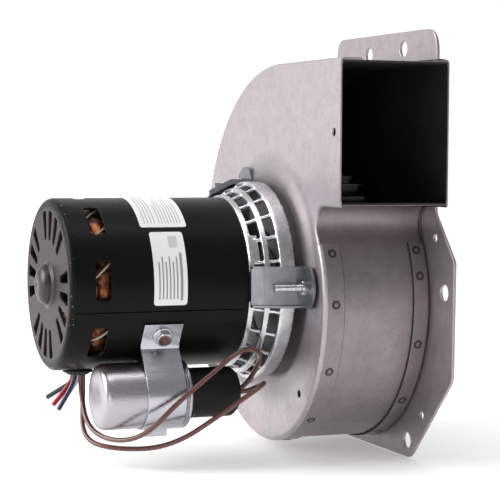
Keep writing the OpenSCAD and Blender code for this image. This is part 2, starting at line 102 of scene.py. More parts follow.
def box_mm(node):
    """Lowest and highest corner of a CAD node, in millimetres."""
    low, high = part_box(node)
    return low / MM, high / MM


def polar(radius, degrees, y):
    """Point at a radius and an angle about the motor axis."""
    angle = math.radians(degrees)
    return Vector((radius * math.cos(angle), y, radius * math.sin(angle)))


def unit(degrees):
    """Flat vector of length 1 at an angle."""
    angle = math.radians(degrees)
    return Vector((math.cos(angle), math.sin(angle)))


def full_turn(steps):
    """Cosine and sine of equal steps round a circle."""
    angles = [2 * math.pi * i / steps for i in range(steps)]
    return [(math.cos(angle), math.sin(angle)) for angle in angles]


def arc(centre, radius, start, end, steps):
    """Points of an arc in a plane, with both ends."""
    points = []
    for i in range(steps + 1):
        angle = math.radians(start + (end - start) * i / steps)
        points.append((centre[0] + radius * math.cos(angle), centre[1] + radius * math.sin(angle)))
    return points


def rounded(points, cut, steps=3, closed=True):
    """The same outline with each corner turned into a small curve.

    cut is how far from the corner the curve starts: one length, or a list with one a corner.
    """
    count = len(points)
    cuts = cut if isinstance(cut, list) else [cut] * count
    result = []
    for i, corner in enumerate(points):
        if not closed and i in (0, count - 1):
            result.append(tuple(corner))
            continue
        corner = Vector(corner)
        to_prev = Vector(points[i - 1]) - corner
        to_next = Vector(points[(i + 1) % count]) - corner
        reach = min(cuts[i], to_prev.length * 0.49, to_next.length * 0.49)
        start = corner + to_prev.normalized() * reach
        end = corner + to_next.normalized() * reach
        for k in range(steps + 1):
            t = k / steps
            result.append(tuple((1 - t) ** 2 * start + 2 * t * (1 - t) * corner + t * t * end))
    return result


def corner_cuts(points, radii):
    """Cuts that give each corner of an outline its own radius."""
    cuts = []
    for i, radius in enumerate(radii):
        corner = Vector(points[i])
        to_prev = Vector(points[i - 1]) - corner
        to_next = Vector(points[(i + 1) % len(points)]) - corner
        cuts.append(radius / math.tan(to_prev.angle(to_next) / 2))
    return cuts


def smooth_path(points, steps):
    """One quadratic curve round each inner control point, as the CAD wires have."""
    points = [Vector(p) for p in points]
    result = [points[0]]
    last = len(points) - 1
    for k in range(1, last):
        start = points[0] if k == 1 else (points[k - 1] + points[k]) / 2
        end = points[last] if k == last - 1 else (points[k] + points[k + 1]) / 2
        for i in range(1, steps + 1):
            t = i / steps
            result.append((1 - t) ** 2 * start + 2 * t * (1 - t) * points[k] + t * t * end)
    return result


class Shape:
    """Vertices and faces in millimetres, gathered before they become one mesh."""

    def __init__(self):
        self.verts = []
        self.faces = []
        self.finish = []

    def add(self, verts, faces, finish=0, place=None):
        """Adds faces, moved by the matrix place. finish is one index, or a list with one a face."""
        start = len(self.verts)
        self.verts += [place @ Vector(v) if place else Vector(v) for v in verts]
        self.faces += [[start + i for i in face] for face in faces]
        self.finish += finish if isinstance(finish, list) else [finish] * len(faces)

    def loft(self, rings, finish=0, loop=False, place=None):
        """Skin over closed rings with equal point counts. loop joins the last to the first.

        finish is one index, or a list with one for each side of a ring.
        """
        size = len(rings[0])
        count = len(rings)
        bands = count if loop else count - 1
        sides = finish if isinstance(finish, list) else [finish] * size
        marks = sides * bands
        verts = [v for ring in rings for v in ring]
        faces = []
        for i in range(bands):
            for j in range(size):
                a = i * size + j
                b = i * size + (j + 1) % size
                shift = size if i < count - 1 else -i * size
                faces.append((a, b, b + shift, a + shift))
        if not loop:
            faces.append(list(range(size))[::-1])
            faces.append(list(range((count - 1) * size, count * size)))
            marks = marks + [sides[0]] * 2
        self.add(verts, faces, marks, place)

    def turned(self, profile, steps=96, centre=(0, 0), finish=0):
        """Closed profile of (radius, y) turned about an axis along Y through centre."""
        shift = Vector((centre[0], 0, centre[1]))
        rings = [[polar(r, 360 * i / steps, y) + shift for r, y in profile] for i in range(steps)]
        self.loft(rings, finish, loop=True)

    def spun(self, profile, place, steps, finish=0):
        """Profile of (radius, height) spun about local Z, from one pole or rim to the other."""
        rings = []
        for r, h in profile:
            reach = max(r, AXIS_R)
            rings.append([(reach * c, reach * s, h) for c, s in full_turn(steps)])
        self.loft(rings, finish, place=place)

    def mesh(self, name):
        """Mesh data in metres."""
        data = bpy.data.meshes.new(name)
        data.from_pydata([v * MM for v in self.verts], [], self.faces)
        data.polygons.foreach_set("material_index", self.finish)
        data.update()
        clean = bmesh.new()
        clean.from_mesh(data)
        bmesh.ops.recalc_face_normals(clean, faces=clean.faces)
        clean.to_mesh(data)
        clean.free()
        return data

    def take(self, data, finish=0):
        """Adds mesh data that is already in millimetres."""
        self.add([v.co for v in data.vertices], [list(p.vertices) for p in data.polygons], finish)


def sheet(outline, holes, y0, y1, edge):
    """Flat sheet square to Y with holes and rounded edges, as mesh data in millimetres."""
    curve = bpy.data.curves.new("sheet", "CURVE")
    curve.dimensions = "2D"
    curve.fill_mode = "BOTH"
    curve.extrude = (y1 - y0) / 2 - edge
    curve.bevel_depth = edge
    curve.bevel_resolution = 2
    curve.offset = -edge
    for loop in [outline] + holes:
        spline = curve.splines.new("POLY")
        spline.points.add(len(loop) - 1)
        for point, (x, z) in zip(spline.points, loop):
            point.co = (x, z, 0, 1)
        spline.use_cyclic_u = True
    holder = bpy.data.objects.new("sheet", curve)
    data = bpy.data.meshes.new_from_object(holder)
    bpy.data.objects.remove(holder)
    bpy.data.curves.remove(curve)
    turn = Matrix.Rotation(math.pi / 2, 4, "X")
    data.transform(Matrix.Translation((0, (y0 + y1) / 2, 0)) @ turn)
    return data


def wrap(data, radius):
    """Bends a flat sheet round the motor axis: x becomes the arc, z the place along it."""
    work = bmesh.new()
    work.from_mesh(data)
    low = min(v.co.x for v in work.verts)
    high = max(v.co.x for v in work.verts)
    cuts = int((high - low) / WRAP_STEP)
    for i in range(1, cuts + 1):
        whole = work.verts[:] + work.edges[:] + work.faces[:]
        place = (low + (high - low) * i / (cuts + 1), 0, 0)
        bmesh.ops.bisect_plane(work, geom=whole, plane_co=place, plane_no=(1, 0, 0))
    for vert in work.verts:
        degrees = math.degrees(vert.co.x / radius)
        vert.co = polar(radius + vert.co.y, degrees, vert.co.z)
    work.to_mesh(data)
    work.free()
    return data


def sweep(shape, path, radius, sides=16, finish=0):
    """Round cable along a path of points."""
    rings = []
    side = None
    for i, point in enumerate(path):
        ahead = path[min(i + 1, len(path) - 1)] - path[max(i - 1, 0)]
        ahead.normalize()
        side = ahead.orthogonal() if side is None else side - ahead * side.dot(ahead)
        side.normalize()
        lift = ahead.cross(side)
        rings.append([point + radius * (c * side + s * lift) for c, s in full_turn(sides)])
    shape.loft(rings, finish)


def facing(point, direction):
    """Matrix that stands local Z along direction, at a point."""
    turn = Vector(direction).to_track_quat("Z", "Y").to_matrix().to_4x4()
    return Matrix.Translation(point) @ turn


# ---- Making pieces ----


def piece(name, source, node, extra=(), sharp=SHARP, look=None):
    """Shows a Shape or mesh data in place of a CAD node, with the node's body and finish.

    look stands in for the node's own finish, and extra holds the finishes after the first.
    """
    data = source.mesh(name) if isinstance(source, Shape) else source
    obj = bpy.data.objects.new(name, data)
    bpy.context.scene.collection.objects.link(obj)
    for finish in (look or MATERIALS[SLOT[node]], *extra):
        data.materials.append(finish)
    data.shade_smooth()
    data.set_sharp_from_angle(angle=math.radians(sharp))
    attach(obj, body_of(frame["nodes"][node])[0])
    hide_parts(node)
    DRESSED.add(node)
    return obj


def merged_copy(node):
    """Mesh data of a CAD node with its split corners joined and its flat faces merged."""
    work = bmesh.new()
    work.from_mesh(frame["nodes"][node].data)
    bmesh.ops.remove_doubles(work, verts=work.verts, dist=1e-6)
    limit = math.radians(0.5)
    bmesh.ops.dissolve_limit(work, angle_limit=limit, verts=work.verts, edges=work.edges)
    data = bpy.data.meshes.new(node + "_look")
    work.to_mesh(data)
    work.free()
    return data


def soft_edged(node, edge):
    """Shows a CAD node with its edges rounded by a few tenths of a millimetre."""
    obj = piece(node + "_look", merged_copy(node), node, sharp=180)
    bevel = obj.modifiers.new("edges", "BEVEL")
    bevel.width = edge * MM
    bevel.segments = 2
    bevel.limit_method = "ANGLE"
    bevel.angle_limit = math.radians(SHARP)
    even = obj.modifiers.new("even", "WEIGHTED_NORMAL")
    even.weight = 100


# ---- Materials ----


class Nodes:
    """Short names for building one material's node tree."""

    def __init__(self, name):
        self.material = bpy.data.materials.new(name)
        self.material.use_nodes = True
        self.tree = self.material.node_tree
        self.surface = self.tree.nodes["Principled BSDF"]

    def connect(self, socket, value):
        """Gives an input socket a value, or links it to another node's output."""
        if isinstance(value, bpy.types.NodeSocket):
            self.tree.links.new(value, socket)
        else:
            socket.default_value = value

    def node(self, kind, **inputs):
        """New node with its inputs set by name."""
        made = self.tree.nodes.new(kind)
        for key, value in inputs.items():
            self.connect(made.inputs[key.replace("_", " ")], value)
        return made

    def finished(self, **inputs):
        """The material, with the surface's inputs set by name."""
        for key, value in inputs.items():
            self.connect(self.surface.inputs[key.replace("_", " ")], value)
        return self.material

    def place(self, stretch):
        """Object coordinates, stretched along each axis."""
        where = self.node("ShaderNodeTexCoord").outputs["Object"]
        return self.node("ShaderNodeMapping", Vector=where, Scale=stretch).outputs["Vector"]

    def noise(self, scale, detail, stretch=(1, 1, 1)):
        """Noise with so many cells a metre."""
        made = self.node("ShaderNodeTexNoise", Vector=self.place(stretch), Scale=scale, Detail=detail)
        return made.outputs["Fac"]

    def ramp(self, value, low, high, start, end):
        """Maps value from start..end to low..high."""
        made = self.node("ShaderNodeMapRange", Value=value, From_Min=start, From_Max=end,
                         To_Min=low, To_Max=high)
        return made.outputs["Result"]

    def mix(self, factor, first, second):
        """Blends two colours. Sockets 0, 6 and 7 are a colour mix's factor and two inputs."""
        made = self.node("ShaderNodeMix")
        made.data_type = "RGBA"
        for index, value in ((0, factor), (6, first), (7, second)):
            self.connect(made.inputs[index], value)
        return made.outputs[2]

    def bump(self, height, depth):
        """Bump whose full height is depth millimetres."""
        made = self.node("ShaderNodeBump", Height=height, Distance=depth * MM)
        return made.outputs["Normal"]


def tint(color, factor):
    """Colour made lighter or darker, with an alpha of 1."""
    return tuple(min(1.0, c * factor) for c in color[:3]) + (1.0,)


def finish(name, color, roughness, metallic=0.0, cloud=60, uneven=0.12, grain=900,
           depth=0.01, stretch=(1, 1, 1), coat=0.0, wear=0.0, shine=0.5, chips=None):
    """Surface with uneven colour and roughness, fine grain, and any wear or chips.

    cloud and grain are noise scales per metre, depth is the grain's height in mm, shine is the
    strength of the reflection on paint or plastic, and wear is how bright the edges are worn.
    chips is the noise level above which the paint has chipped off.
    """
    n = Nodes(name)
    clouds = n.noise(cloud, 4.0)
    grains = n.noise(grain, 2.0, stretch)
    shade = n.mix(n.ramp(clouds, 0, 1, 0.3, 0.7), tint(color, 1 - uneven), tint(color, 1 + uneven))
    if wear:
        corner = n.node("ShaderNodeNewGeometry").outputs["Pointiness"]
        worn = n.ramp(corner, 0, wear, 0.52, 0.6)
        shade = n.mix(worn, shade, tint(color, 1.0 + 2.5 * wear))
    if chips:
        bare = n.ramp(n.noise(650, 1.0), 0, 1, chips, chips + 0.02)
        shade = n.mix(bare, shade, (0.2, 0.19, 0.2, 1))
    rough = n.ramp(grains, roughness * 0.8, roughness * 1.25, 0.3, 0.7)
    return n.finished(Base_Color=shade, Metallic=metallic, Roughness=rough,
                      Normal=n.bump(grains, depth), Specular_IOR_Level=shine,
                      Coat_Weight=coat, Coat_Roughness=0.15)


def rolled_steel(name, color, roughness, along, painted_shadow_radii):
    """Aluminised sheet: spangle clouds, drawn streaks along one axis, smudges and pits.

    The last argument is None, or two radii in mm about the motor axis, between which a painted shadow of
    the motor darkens the sheet in a ring that fades outwards.
    """
    stretch = tuple(0.3 if axis == along else 1.0 for axis in "xyz")
    n = Nodes(name)
    spangle = n.noise(170, 5.0)
    streak = n.noise(1600, 2.0, stretch)
    smudge = n.noise(26, 5.0)
    pits = n.noise(700, 2.0)
    base = n.mix(n.ramp(spangle, 0, 1, 0.35, 0.65), tint(color, 0.93), tint(color, 1.07))
    pitted = n.mix(n.ramp(pits, 0, 0.5, 0.6, 0.72), base, tint(color, 0.6))
    stained = n.mix(n.ramp(smudge, 0, 0.6, 0.46, 0.72), pitted, tint(color, 0.68))
    sheen = n.mix(n.ramp(streak, 0, 0.3, 0.45, 0.65), stained, tint(color, 1.2))
    # Painted shadow: darkens the sheet in a ring round the motor axis, standing in for the shade cast by
    # the motor and its cage.
    if painted_shadow_radii:
        reach = n.node("ShaderNodeVectorMath")
        reach.operation = "LENGTH"
        n.tree.links.new(n.place((1, 0, 1)), reach.inputs[0])
        ring = n.ramp(reach.outputs["Value"], 0.8, 0, painted_shadow_radii[0] * MM, painted_shadow_radii[1] * MM)
        sheen = n.mix(ring, sheen, tint(color, 0.42))
    rough = n.ramp(smudge, roughness * 0.85, roughness * 1.2, 0.3, 0.7)
    return n.finished(Base_Color=sheen, Metallic=0.88, Roughness=rough, Normal=n.bump(streak, 0.012))


def shaded_copper_strands():
    """Enamelled wire laid round the end turns, with dark gaps between strands; the copper and the gaps are
    darkened further as painted shade inside the shell.
    """
    n = Nodes("shaded_copper_strands")
    strand = n.noise(2400, 2.0, (1, 1, 0.12))
    cloud = n.noise(220, 3.0)
    # Painted shade: the copper is kept dark and its gaps near black, for the shade behind the shell's
    # windows.
    copper = n.mix(n.ramp(cloud, 0, 1, 0.4, 0.6), (0.03, 0.009, 0.005, 1), (0.3, 0.105, 0.04, 1))
    shade = n.mix(n.ramp(strand, 0, 1, 0.3, 0.6), (0.02, 0.008, 0.005, 1), copper)
    return n.finished(Base_Color=shade, Metallic=0.8, Roughness=0.3, Normal=n.bump(strand, 0.08))


def stacked_laminations():
    """Thin steel sheets stacked along the axis."""
    n = Nodes("laminations")
    layer = n.noise(3000, 1.0, (0.02, 1, 0.02))
    shade = n.mix(layer, (0.12, 0.12, 0.13, 1), (0.36, 0.36, 0.38, 1))
    return n.finished(Base_Color=shade, Metallic=0.8, Roughness=0.45, Normal=n.bump(layer, 0.1))


def make_materials():
    """One material for each of the record's slots, and four more.

    Those are the housing's inside, painted near black as shade, the still bright zinc on screws
    and nuts, and the rear bell's rim and boss.
    """
    made = {}

    def add(name, *look, **details):
        made[name] = finish(name, *look, **details)

    for name, color, roughness, along, painted_shadow_radii in (
            # The front plate's sheet carries the painted shadow ring, 52 to 66 mm round the motor axis.
            ("sheet_steel", (0.45, 0.406, 0.426), 0.42, "z", (52, 66)),
            # The band's tone is partly its own and partly painted shade: it is darker than the plates for
            # the weaker light on faces side-on to the key.
            ("band_steel", (0.295, 0.256, 0.262), 0.42, "x", None),
            ("plate_steel", (0.41, 0.37, 0.385), 0.40, "x", None),
            ("impeller_steel", (0.035, 0.033, 0.032), 0.5, "y", None)):
        made[name] = rolled_steel(name, color, roughness, along, painted_shadow_radii)

    # Painted shade: near black finish that stands in for the unlit inside of the housing and for its
    # shaded cut edges.
    add("painted_duct_shade", (0.02, 0.019, 0.019), 0.6, 0.2, cloud=30, uneven=0.4)
    add("bright_zinc", (0.55, 0.56, 0.6), 0.2, 1.0, cloud=400, uneven=0.2, grain=2400)
    add("zinc_steel", (0.225, 0.232, 0.252), 0.36, 1.0, cloud=120, uneven=0.2, grain=2200,
        depth=0.015, stretch=(1, 1, 0.08))
    add("cast_aluminium", (0.58, 0.58, 0.60), 0.30, 1.0, cloud=150, uneven=0.2, grain=1500,
        depth=0.05, wear=0.15)
    add("can_aluminium", (0.46, 0.43, 0.465), 0.31, 1.0, cloud=40, uneven=0.04, grain=2500,
        depth=0.006, stretch=(1, 0.05, 1))
    add("strap_metal", (0.50, 0.50, 0.55), 0.24, 1.0, cloud=60, uneven=0.04, grain=2200,
        depth=0.006, stretch=(1, 0.05, 1))
    add("shaft_steel", (0.6, 0.6, 0.62), 0.2, 1.0, grain=2500, stretch=(1, 0.05, 1))
    add("spring_steel", (0.3, 0.3, 0.32), 0.35, 0.95)
    # Painted shade: the fan is kept dark, standing in for the shade inside the cage.
    add("fan_aluminium", (0.34, 0.34, 0.35), 0.4, 0.9)
    add("bearing_bronze", (0.52, 0.36, 0.18), 0.4, 0.9, grain=2500, depth=0.04)

    black = (0.005, 0.0044, 0.0047)
    add("black_paint", black, 0.36, cloud=40, uneven=0.3, grain=1400, depth=0.004, coat=0.02, shine=0.10)
    add("rim_paint", black, 0.36, cloud=40, uneven=0.3, grain=1400, depth=0.004, shine=0.10, chips=0.73)
    add("boot_black", black, 0.5, cloud=50, uneven=0.3, grain=1400, depth=0.03, shine=0.25)
    add("boss_metal", (0.05, 0.043, 0.046), 0.34, 0.8, cloud=200, grain=1800, stretch=(0.1, 1, 1))
    add("bell_grey", (0.024, 0.0145, 0.0175), 0.40, 0.0, cloud=60, grain=1300, depth=0.02,
        wear=0.25, shine=0.2)

    add("protector_case", (0.78, 0.74, 0.62), 0.5)
    add("felt", (0.5, 0.42, 0.28), 0.9, grain=3000, depth=0.3)
    add("label_paper", (0.86, 0.85, 0.86), 0.38, cloud=50, uneven=0.03)
    add("black_rubber", (0.02, 0.02, 0.02), 0.7, grain=1500, depth=0.05)
    add("fibre", (0.16, 0.15, 0.14), 0.8, grain=2200, depth=0.1)
    add("film_roll", (0.6, 0.5, 0.22), 0.4)
    add("lid_resin", (0.03, 0.03, 0.03), 0.4)

    wire_colors = {"brown": (0.115, 0.040, 0.028), "green": (0.012, 0.03, 0.026),
                   "red": (0.42, 0.012, 0.025), "white": (0.78, 0.76, 0.78), "blue": (0.03, 0.026, 0.09)}
    for name, color in wire_colors.items():
        add("wire_" + name, color, 0.28, cloud=90, uneven=0.1, grain=500, depth=0.02, coat=0.3)

    made["lamination"] = stacked_laminations()
    made["copper_wire"] = shaded_copper_strands()
    return made


MATERIALS = make_materials()
# painted shade for the inside of the housing and its cut edges
PAINTED_SHADE = MATERIALS["painted_duct_shade"]
BRIGHT_ZINC = MATERIALS["bright_zinc"]


# ---- Sizes, taken from the frame where a node gives them ----

shell_low, shell_high = box_mm("motor_shell")
SHELL_R = shell_high.x
SHELL_BACK = shell_low.y
SHELL_FRONT = shell_high.y
SHELL_T = 1.2
SEAM = -15

BELL_FACE = SHELL_BACK - 3
BELL_T = 1.8
BOSS_FACE = box_mm("rear_end_bell")[0].y

band_low, band_high = box_mm("scroll_band")
OUTLET_X = band_high.x
OUTLET_Z = 40.3
SHEET_T = 1.0
STEP = 14  # each quarter of the scroll has a radius this much larger than the last
SCROLL_R = (band_high.z - band_low.z - 5 * STEP) / 2
SCROLL_X = band_low.x + SCROLL_R + 2.5 * STEP
SCROLL_Z = band_high.z - SCROLL_R - 3.5 * STEP
NOSE_R = 10
FIT = 0.05  # gap between parts that touch
FLANGE_START_Z = 21
FACE_Y = band_low.y - SHEET_T
PANEL_Y = box_mm("front_side_plate")[0].y
PANEL_FOOT_R = 62.6
PANEL_SLOPE = 10.0
FRONT_FLANGE = 10
REAR_FLANGE = 8
EDGE_STRIP = 3.2  # width of the strip that carries a side plate's rolled edge
ROLL_R = 2.0
LINING_T = 0.3  # depth of the inner face, painted dark as shade
WINDOW_R = 12
INLET_R = 38
INLET_LIP = 7
BOLT_HOLE_R = 4
PILOT_R = 2
# A side plate's finishes 1 and 2: its inside painted dark as shade, and the band's tone, partly painted
# shade, on its flange.
PLATE_SHADE_LOOKS = (PAINTED_SHADE, MATERIALS["band_steel"])

BRACKET_ANGLES = (0, 120, 240)
SCREW_X = 55.2
SCREW_R = 1.9

can_low, can_high = box_mm("capacitor_can")
CAN_X = (can_low.x + can_high.x) / 2
CAN_Z = (can_low.z + can_high.z) / 2
CAN_RIM = 0.8
CAN_GAP = 0.1
CAN_R = (can_high.x - can_low.x) / 2 - CAN_RIM
CAN_BACK = can_low.y
CAN_END = can_high.y
BOOT_END = box_mm("capacitor_boot")[1].y
BOOT_R = 12.5

strap_low, strap_high = box_mm("capacitor_strap")
STRAP_T = 0.8
TAB_ANGLE = -32.5
TAB_LEN = 13.5
TAB_SCREW_Y = -127
LUG_ANGLE = -97

grommet_low, grommet_high = box_mm("lead_grommet")
GROMMET_Y = (grommet_low.y + grommet_high.y) / 2
GROMMET_FOOT_Z = -46
GROMMET_R = 6
WIRE_R = 1.2
WIRE_TOP_Z = -39.6
WIRE_BEND_Z = -43

VENT_COUNT = 8
VENT_SKIPPED = 6
VENT_FIRST = 6
VENT_SPAN = 26
VENT_Y = -161.7
VENT_W = 7.5
DIMPLE_Y = (-140, -115)
DIMPLE_ANGLES = (14, 134, 254)
STAKE_COUNT = 24
WELD_PITCH = 34
LACE_COUNT = 14
LACE_LEAN = 1.5

CAMERA_AZIMUTH = 68.34
CAMERA_RISE = 3.30
CAMERA_ROLL = 0.36
CAMERA_LENS = 126
CAMERA_DISTANCE = 0.890
CAMERA_TARGET = (0, -0.0680, 0.01516)


# ---- Housing ----


def scroll_outline(offset):
    """Scroll outline moved outwards, from the outlet's floor round to its roof."""
    half = STEP / 2
    centres = [(SCROLL_X + sx * half, SCROLL_Z + sz * half)
               for sx, sz in ((1, -1), (-1, -1), (-1, 1), (1, 1))]
    nose_z = OUTLET_Z - NOSE_R
    reach = SCROLL_R + NOSE_R
    lean = math.degrees(math.asin((nose_z - centres[0][1]) / reach))
    nose_x = centres[0][0] + reach * math.cos(math.radians(lean))
    roof_z = centres[3][1] + SCROLL_R + 3 * STEP + offset
    points = [(OUTLET_X, OUTLET_Z - offset)]
    points += arc((nose_x, nose_z), NOSE_R - offset, 90, 180 + lean, 14)
    for k, centre in enumerate(centres):
        start = 90 - 90 * k if k else lean
        points += arc(centre, SCROLL_R + k * STEP + offset, start, -90 * k, 40 if k else 30)[1:]
    return points + [(OUTLET_X, roof_z)]


def loft_scroll(shape, profile, finish, first=0, last=None):
    """Carries a closed profile of (offset, y) along part of the scroll outline."""
    lines = [scroll_outline(offset) for offset, _ in profile]
    heights = [y for _, y in profile]
    stop = len(lines[0]) if last is None else last + 1
    rings = [[(line[i][0], y, line[i][1]) for line, y in zip(lines, heights)]
             for i in range(first, stop)]
    shape.loft(rings, finish)


def flange_first():
    """Index of the first outline point below the place where the flanges start."""
    outline = scroll_outline(0)
    return next(i for i, (x, z) in enumerate(outline) if z < FLANGE_START_Z)


def scroll_sheet():
    """The curved band, with its inside and most of its cut ends painted dark as shade."""
    shape = Shape()
    seam = -SHEET_T / 4
    for out, back, finish in ((0, seam, 0), (seam, -SHEET_T, 1)):
        profile = [(out, band_low.y), (out, band_high.y), (back, band_high.y), (back, band_low.y)]
        loft_scroll(shape, profile, finish)
    piece("scroll_sheet", shape, "scroll_band", [PAINTED_SHADE])


def edge_profile(face_y, inner_y, flange_y):
    """Section of a side plate's edge, with the finish of each side.

    The corner is rolled, and a flange follows it when flange_y is given.
    """
    out = FIT + SHEET_T
    toward = 1 if inner_y > face_y else -1
    roll = 0.9 if flange_y is None else ROLL_R
    corner = [(out - EDGE_STRIP, face_y)]
    steps = 6
    for k in range(steps + 1):
        angle = math.radians(90 * k / steps)
        rise = toward * roll * (1 - math.cos(angle))
        corner.append((out - roll * (1 - math.sin(angle)), face_y + rise))
    if flange_y is None:
        return corner + [(out, inner_y), (out - EDGE_STRIP, inner_y)], [0] * (steps + 2) + [1, 1]
    # Painted shadow: the flange's lip, end and inner faces take finish 1, the dark inside, which draws a
    # shadow line along the flange's edge.
    lip = 0.3  # small chamfer at the flange's end
    flange = [(out, flange_y - lip * toward), (out - lip, flange_y), (FIT, flange_y), (FIT, inner_y)]
    return corner + flange + [(out - EDGE_STRIP, inner_y)], [0] * (steps + 1) + [2] + [1] * 5


def side_plate(face_y, inner_y, flange_depth, holes):
    """Flat side of the housing with its inside painted dark as shade, a rolled edge and a flange over the
    band.

    The flange's outer face takes the band's darker tone, partly the band's own and partly painted shade
    for the weaker light on faces side-on to the key.
    """
    toward = 1 if inner_y > face_y else -1
    shape = Shape()
    flat = scroll_outline(FIT + SHEET_T - EDGE_STRIP)
    seam = inner_y - toward * LINING_T
    for start, end, finish in ((face_y, seam, 0), (seam, inner_y, 1)):
        low, high = sorted((start, end))
        shape.take(sheet(flat, holes, low, high, edge=0.0), finish)
    first = flange_first()
    plain_edge, marks = edge_profile(face_y, inner_y, None)
    loft_scroll(shape, plain_edge, marks, last=first)
    flanged, marks = edge_profile(face_y, inner_y, inner_y + toward * flange_depth)
    loft_scroll(shape, flanged, marks, first)
    return shape


def circle(radius, centre=(0, 0), steps=96):
    """Outline of a round hole."""
    return arc(centre, radius, 0, 360, steps)[:-1]


def front_plate():
    """Side plate towards the motor, with its raised round panel."""
    pilots = ((80, 74.6), (41.2, -53.5))
    holes = [circle(PANEL_FOOT_R)] + [circle(PILOT_R, place, 24) for place in pilots]
    shape = side_plate(FACE_Y, band_low.y, FRONT_FLANGE, holes)
    steps = 12
    outside = []
    for k in range(steps + 1):
        drop = 0.5 - 0.5 * math.cos(math.pi * k / steps)
        outside.append((PANEL_FOOT_R - PANEL_SLOPE * k / steps, FACE_Y + (PANEL_Y - FACE_Y) * drop))
    outside.append((WINDOW_R, PANEL_Y))
    inside = [(r, y + SHEET_T) for r, y in outside[::-1]]
    shape.turned(outside + inside, 144)
    piece("front_plate", shape, "front_side_plate", PLATE_SHADE_LOOKS)


def rear_plate():
    """Side plate towards the mounting plate, with the inlet's turned lip."""
    face_y = box_mm("rear_side_plate")[1].y
    joint_r = INLET_R + 2.4
    shape = side_plate(face_y, band_high.y, REAR_FLANGE, [circle(joint_r)])
    lip_y = face_y - SHEET_T - INLET_LIP
    lip = [(joint_r, face_y), (INLET_R, face_y), (INLET_R, lip_y), (INLET_R + SHEET_T, lip_y),
           (INLET_R + SHEET_T, band_high.y), (joint_r, band_high.y)]
    shape.turned(rounded(lip, 0.8))
    piece("rear_plate", shape, "rear_side_plate", PLATE_SHADE_LOOKS)


def mounting_plate():
    """Flat plate with rounded corners, five large holes, two pilots and the inlet."""
    low, high = box_mm("mounting_plate")
    shoulder_z = 13.5
    foot_z = -43.5
    corners = [(-41, high.z), (74.3, high.z), (74.3, 36), (high.x, shoulder_z), (93.2, foot_z),
               (50.5, low.z), (-50, low.z), (low.x, foot_z), (low.x, shoulder_z), (-72, 78), (-41, 101)]
    radii = (8, 12, 4, 4, 8, 8, 8, 8, 4, 6, 4)
    bolts = ((38.2, 116.6), (-1.5, 115.2), (84.4, -1.8), (46.8, -78.6), (-100.5, -14.5))
    pilots = ((74.5, 24.1), (62.4, -63.9))
    holes = [circle(INLET_R)] + [circle(BOLT_HOLE_R, place, 32) for place in bolts]
    holes += [circle(PILOT_R, place, 24) for place in pilots]
    outline = rounded(corners, corner_cuts(corners, radii), 8)
    shape = Shape()
    shape.take(sheet(outline, holes, low.y, high.y, 0.3))
    piece("mounting_sheet", shape, "mounting_plate")


def spot_welds():
    """Burnt pressed rings with a bright nugget, where the flanges are welded to the band.

    A row is its y, then how far along the flange its first and second welds are.
    """
    shape = Shape()
    ring = [(2.3, -0.2), (2.2, 0.14), (1.8, 0.2), (1.3, 0.08), (0.0, 0.05)]
    nugget = [(1.0, -0.2), (1.0, 0.1), (0.7, 0.18), (0.0, 0.2)]
    rows = ((band_low.y + 5.2, 5, 30), (band_high.y - 4.2, 4, 17))
    outline = scroll_outline(FIT + SHEET_T)[flange_first():]
    for y, first, second in rows:
        travelled = 0.0
        places = [first] + [second + WELD_PITCH * k for k in range(20)]
        for (x0, z0), (x1, z1) in zip(outline, outline[1:]):
            length = math.hypot(x1 - x0, z1 - z0)
            for due in places:
                t = (due - travelled) / length
                if 0 <= t < 1:
                    spot = (x0 + (x1 - x0) * t, y, z0 + (z1 - z0) * t)
                    place = facing(spot, (z0 - z1, 0, x1 - x0))
                    shape.spun(ring, place, 20)
                    shape.spun(nugget, place, 16, finish=1)
            travelled += length
    burn = finish("weld_burn", (0.08, 0.06, 0.055), 0.45, 0.8, cloud=900, uneven=0.4)
    nugget_look = finish("weld_nugget", (0.26, 0.23, 0.235), 0.4, 0.9, cloud=900, uneven=0.3)
    piece("spot_welds", shape, "scroll_band", [nugget_look], look=burn)


# ---- Motor ----


def rounded_box(u0, u1, v0, v1, radius, steps=5):
    """Outline of a rectangle with round corners."""
    return rounded([(u0, v0), (u1, v0), (u1, v1), (u0, v1)], radius, steps)


def motor_shell():
    """Rolled shell: a flat sheet with windows, bent round until its edges meet at the seam."""
    middle = SHELL_R - SHELL_T / 2
    per_degree = math.radians(1) * middle
    u0 = (SEAM + 0.17) * per_degree
    u1 = (SEAM + 359.83) * per_degree
    outline = rounded_box(u0, u1, SHELL_BACK, SHELL_FRONT, 0.6, 3)
    holes = []
    for i in range(VENT_COUNT):
        if i == VENT_SKIPPED:
            continue
        middle_angle = VENT_FIRST + 360 * i / VENT_COUNT
        a = (middle_angle - VENT_SPAN / 2) * per_degree
        b = (middle_angle + VENT_SPAN / 2) * per_degree
        holes.append(rounded_box(a, b, VENT_Y, VENT_Y + VENT_W, 2.2))
    holes.append(circle(GROMMET_R, (270 * per_degree, GROMMET_Y), 48))
    shape = Shape()
    shape.take(wrap(sheet(outline, holes, -SHELL_T / 2, SHELL_T / 2, 0.28), middle))
    dent = [(2.0, -0.1), (1.9, 0.03), (1.5, 0.04), (1.2, -0.25), (0.6, -0.5), (0.0, -0.55)]
    for y in DIMPLE_Y:
        for angle in DIMPLE_ANGLES:
            shape.spun(dent, facing(polar(SHELL_R, angle, y), polar(1, angle, 0)), 20)
    stake = [(1.1, -0.1), (1.0, 0.06), (0.7, 0.02), (0.4, -0.3), (0.0, -0.35)]
    for k in range(STAKE_COUNT):
        angle = 360 * (k + 0.5) / STAKE_COUNT
        shape.spun(stake, facing(polar(SHELL_R, angle, SHELL_BACK + 2.6), polar(1, angle, 0)), 14)
    piece("shell_sheet", shape, "motor_shell")


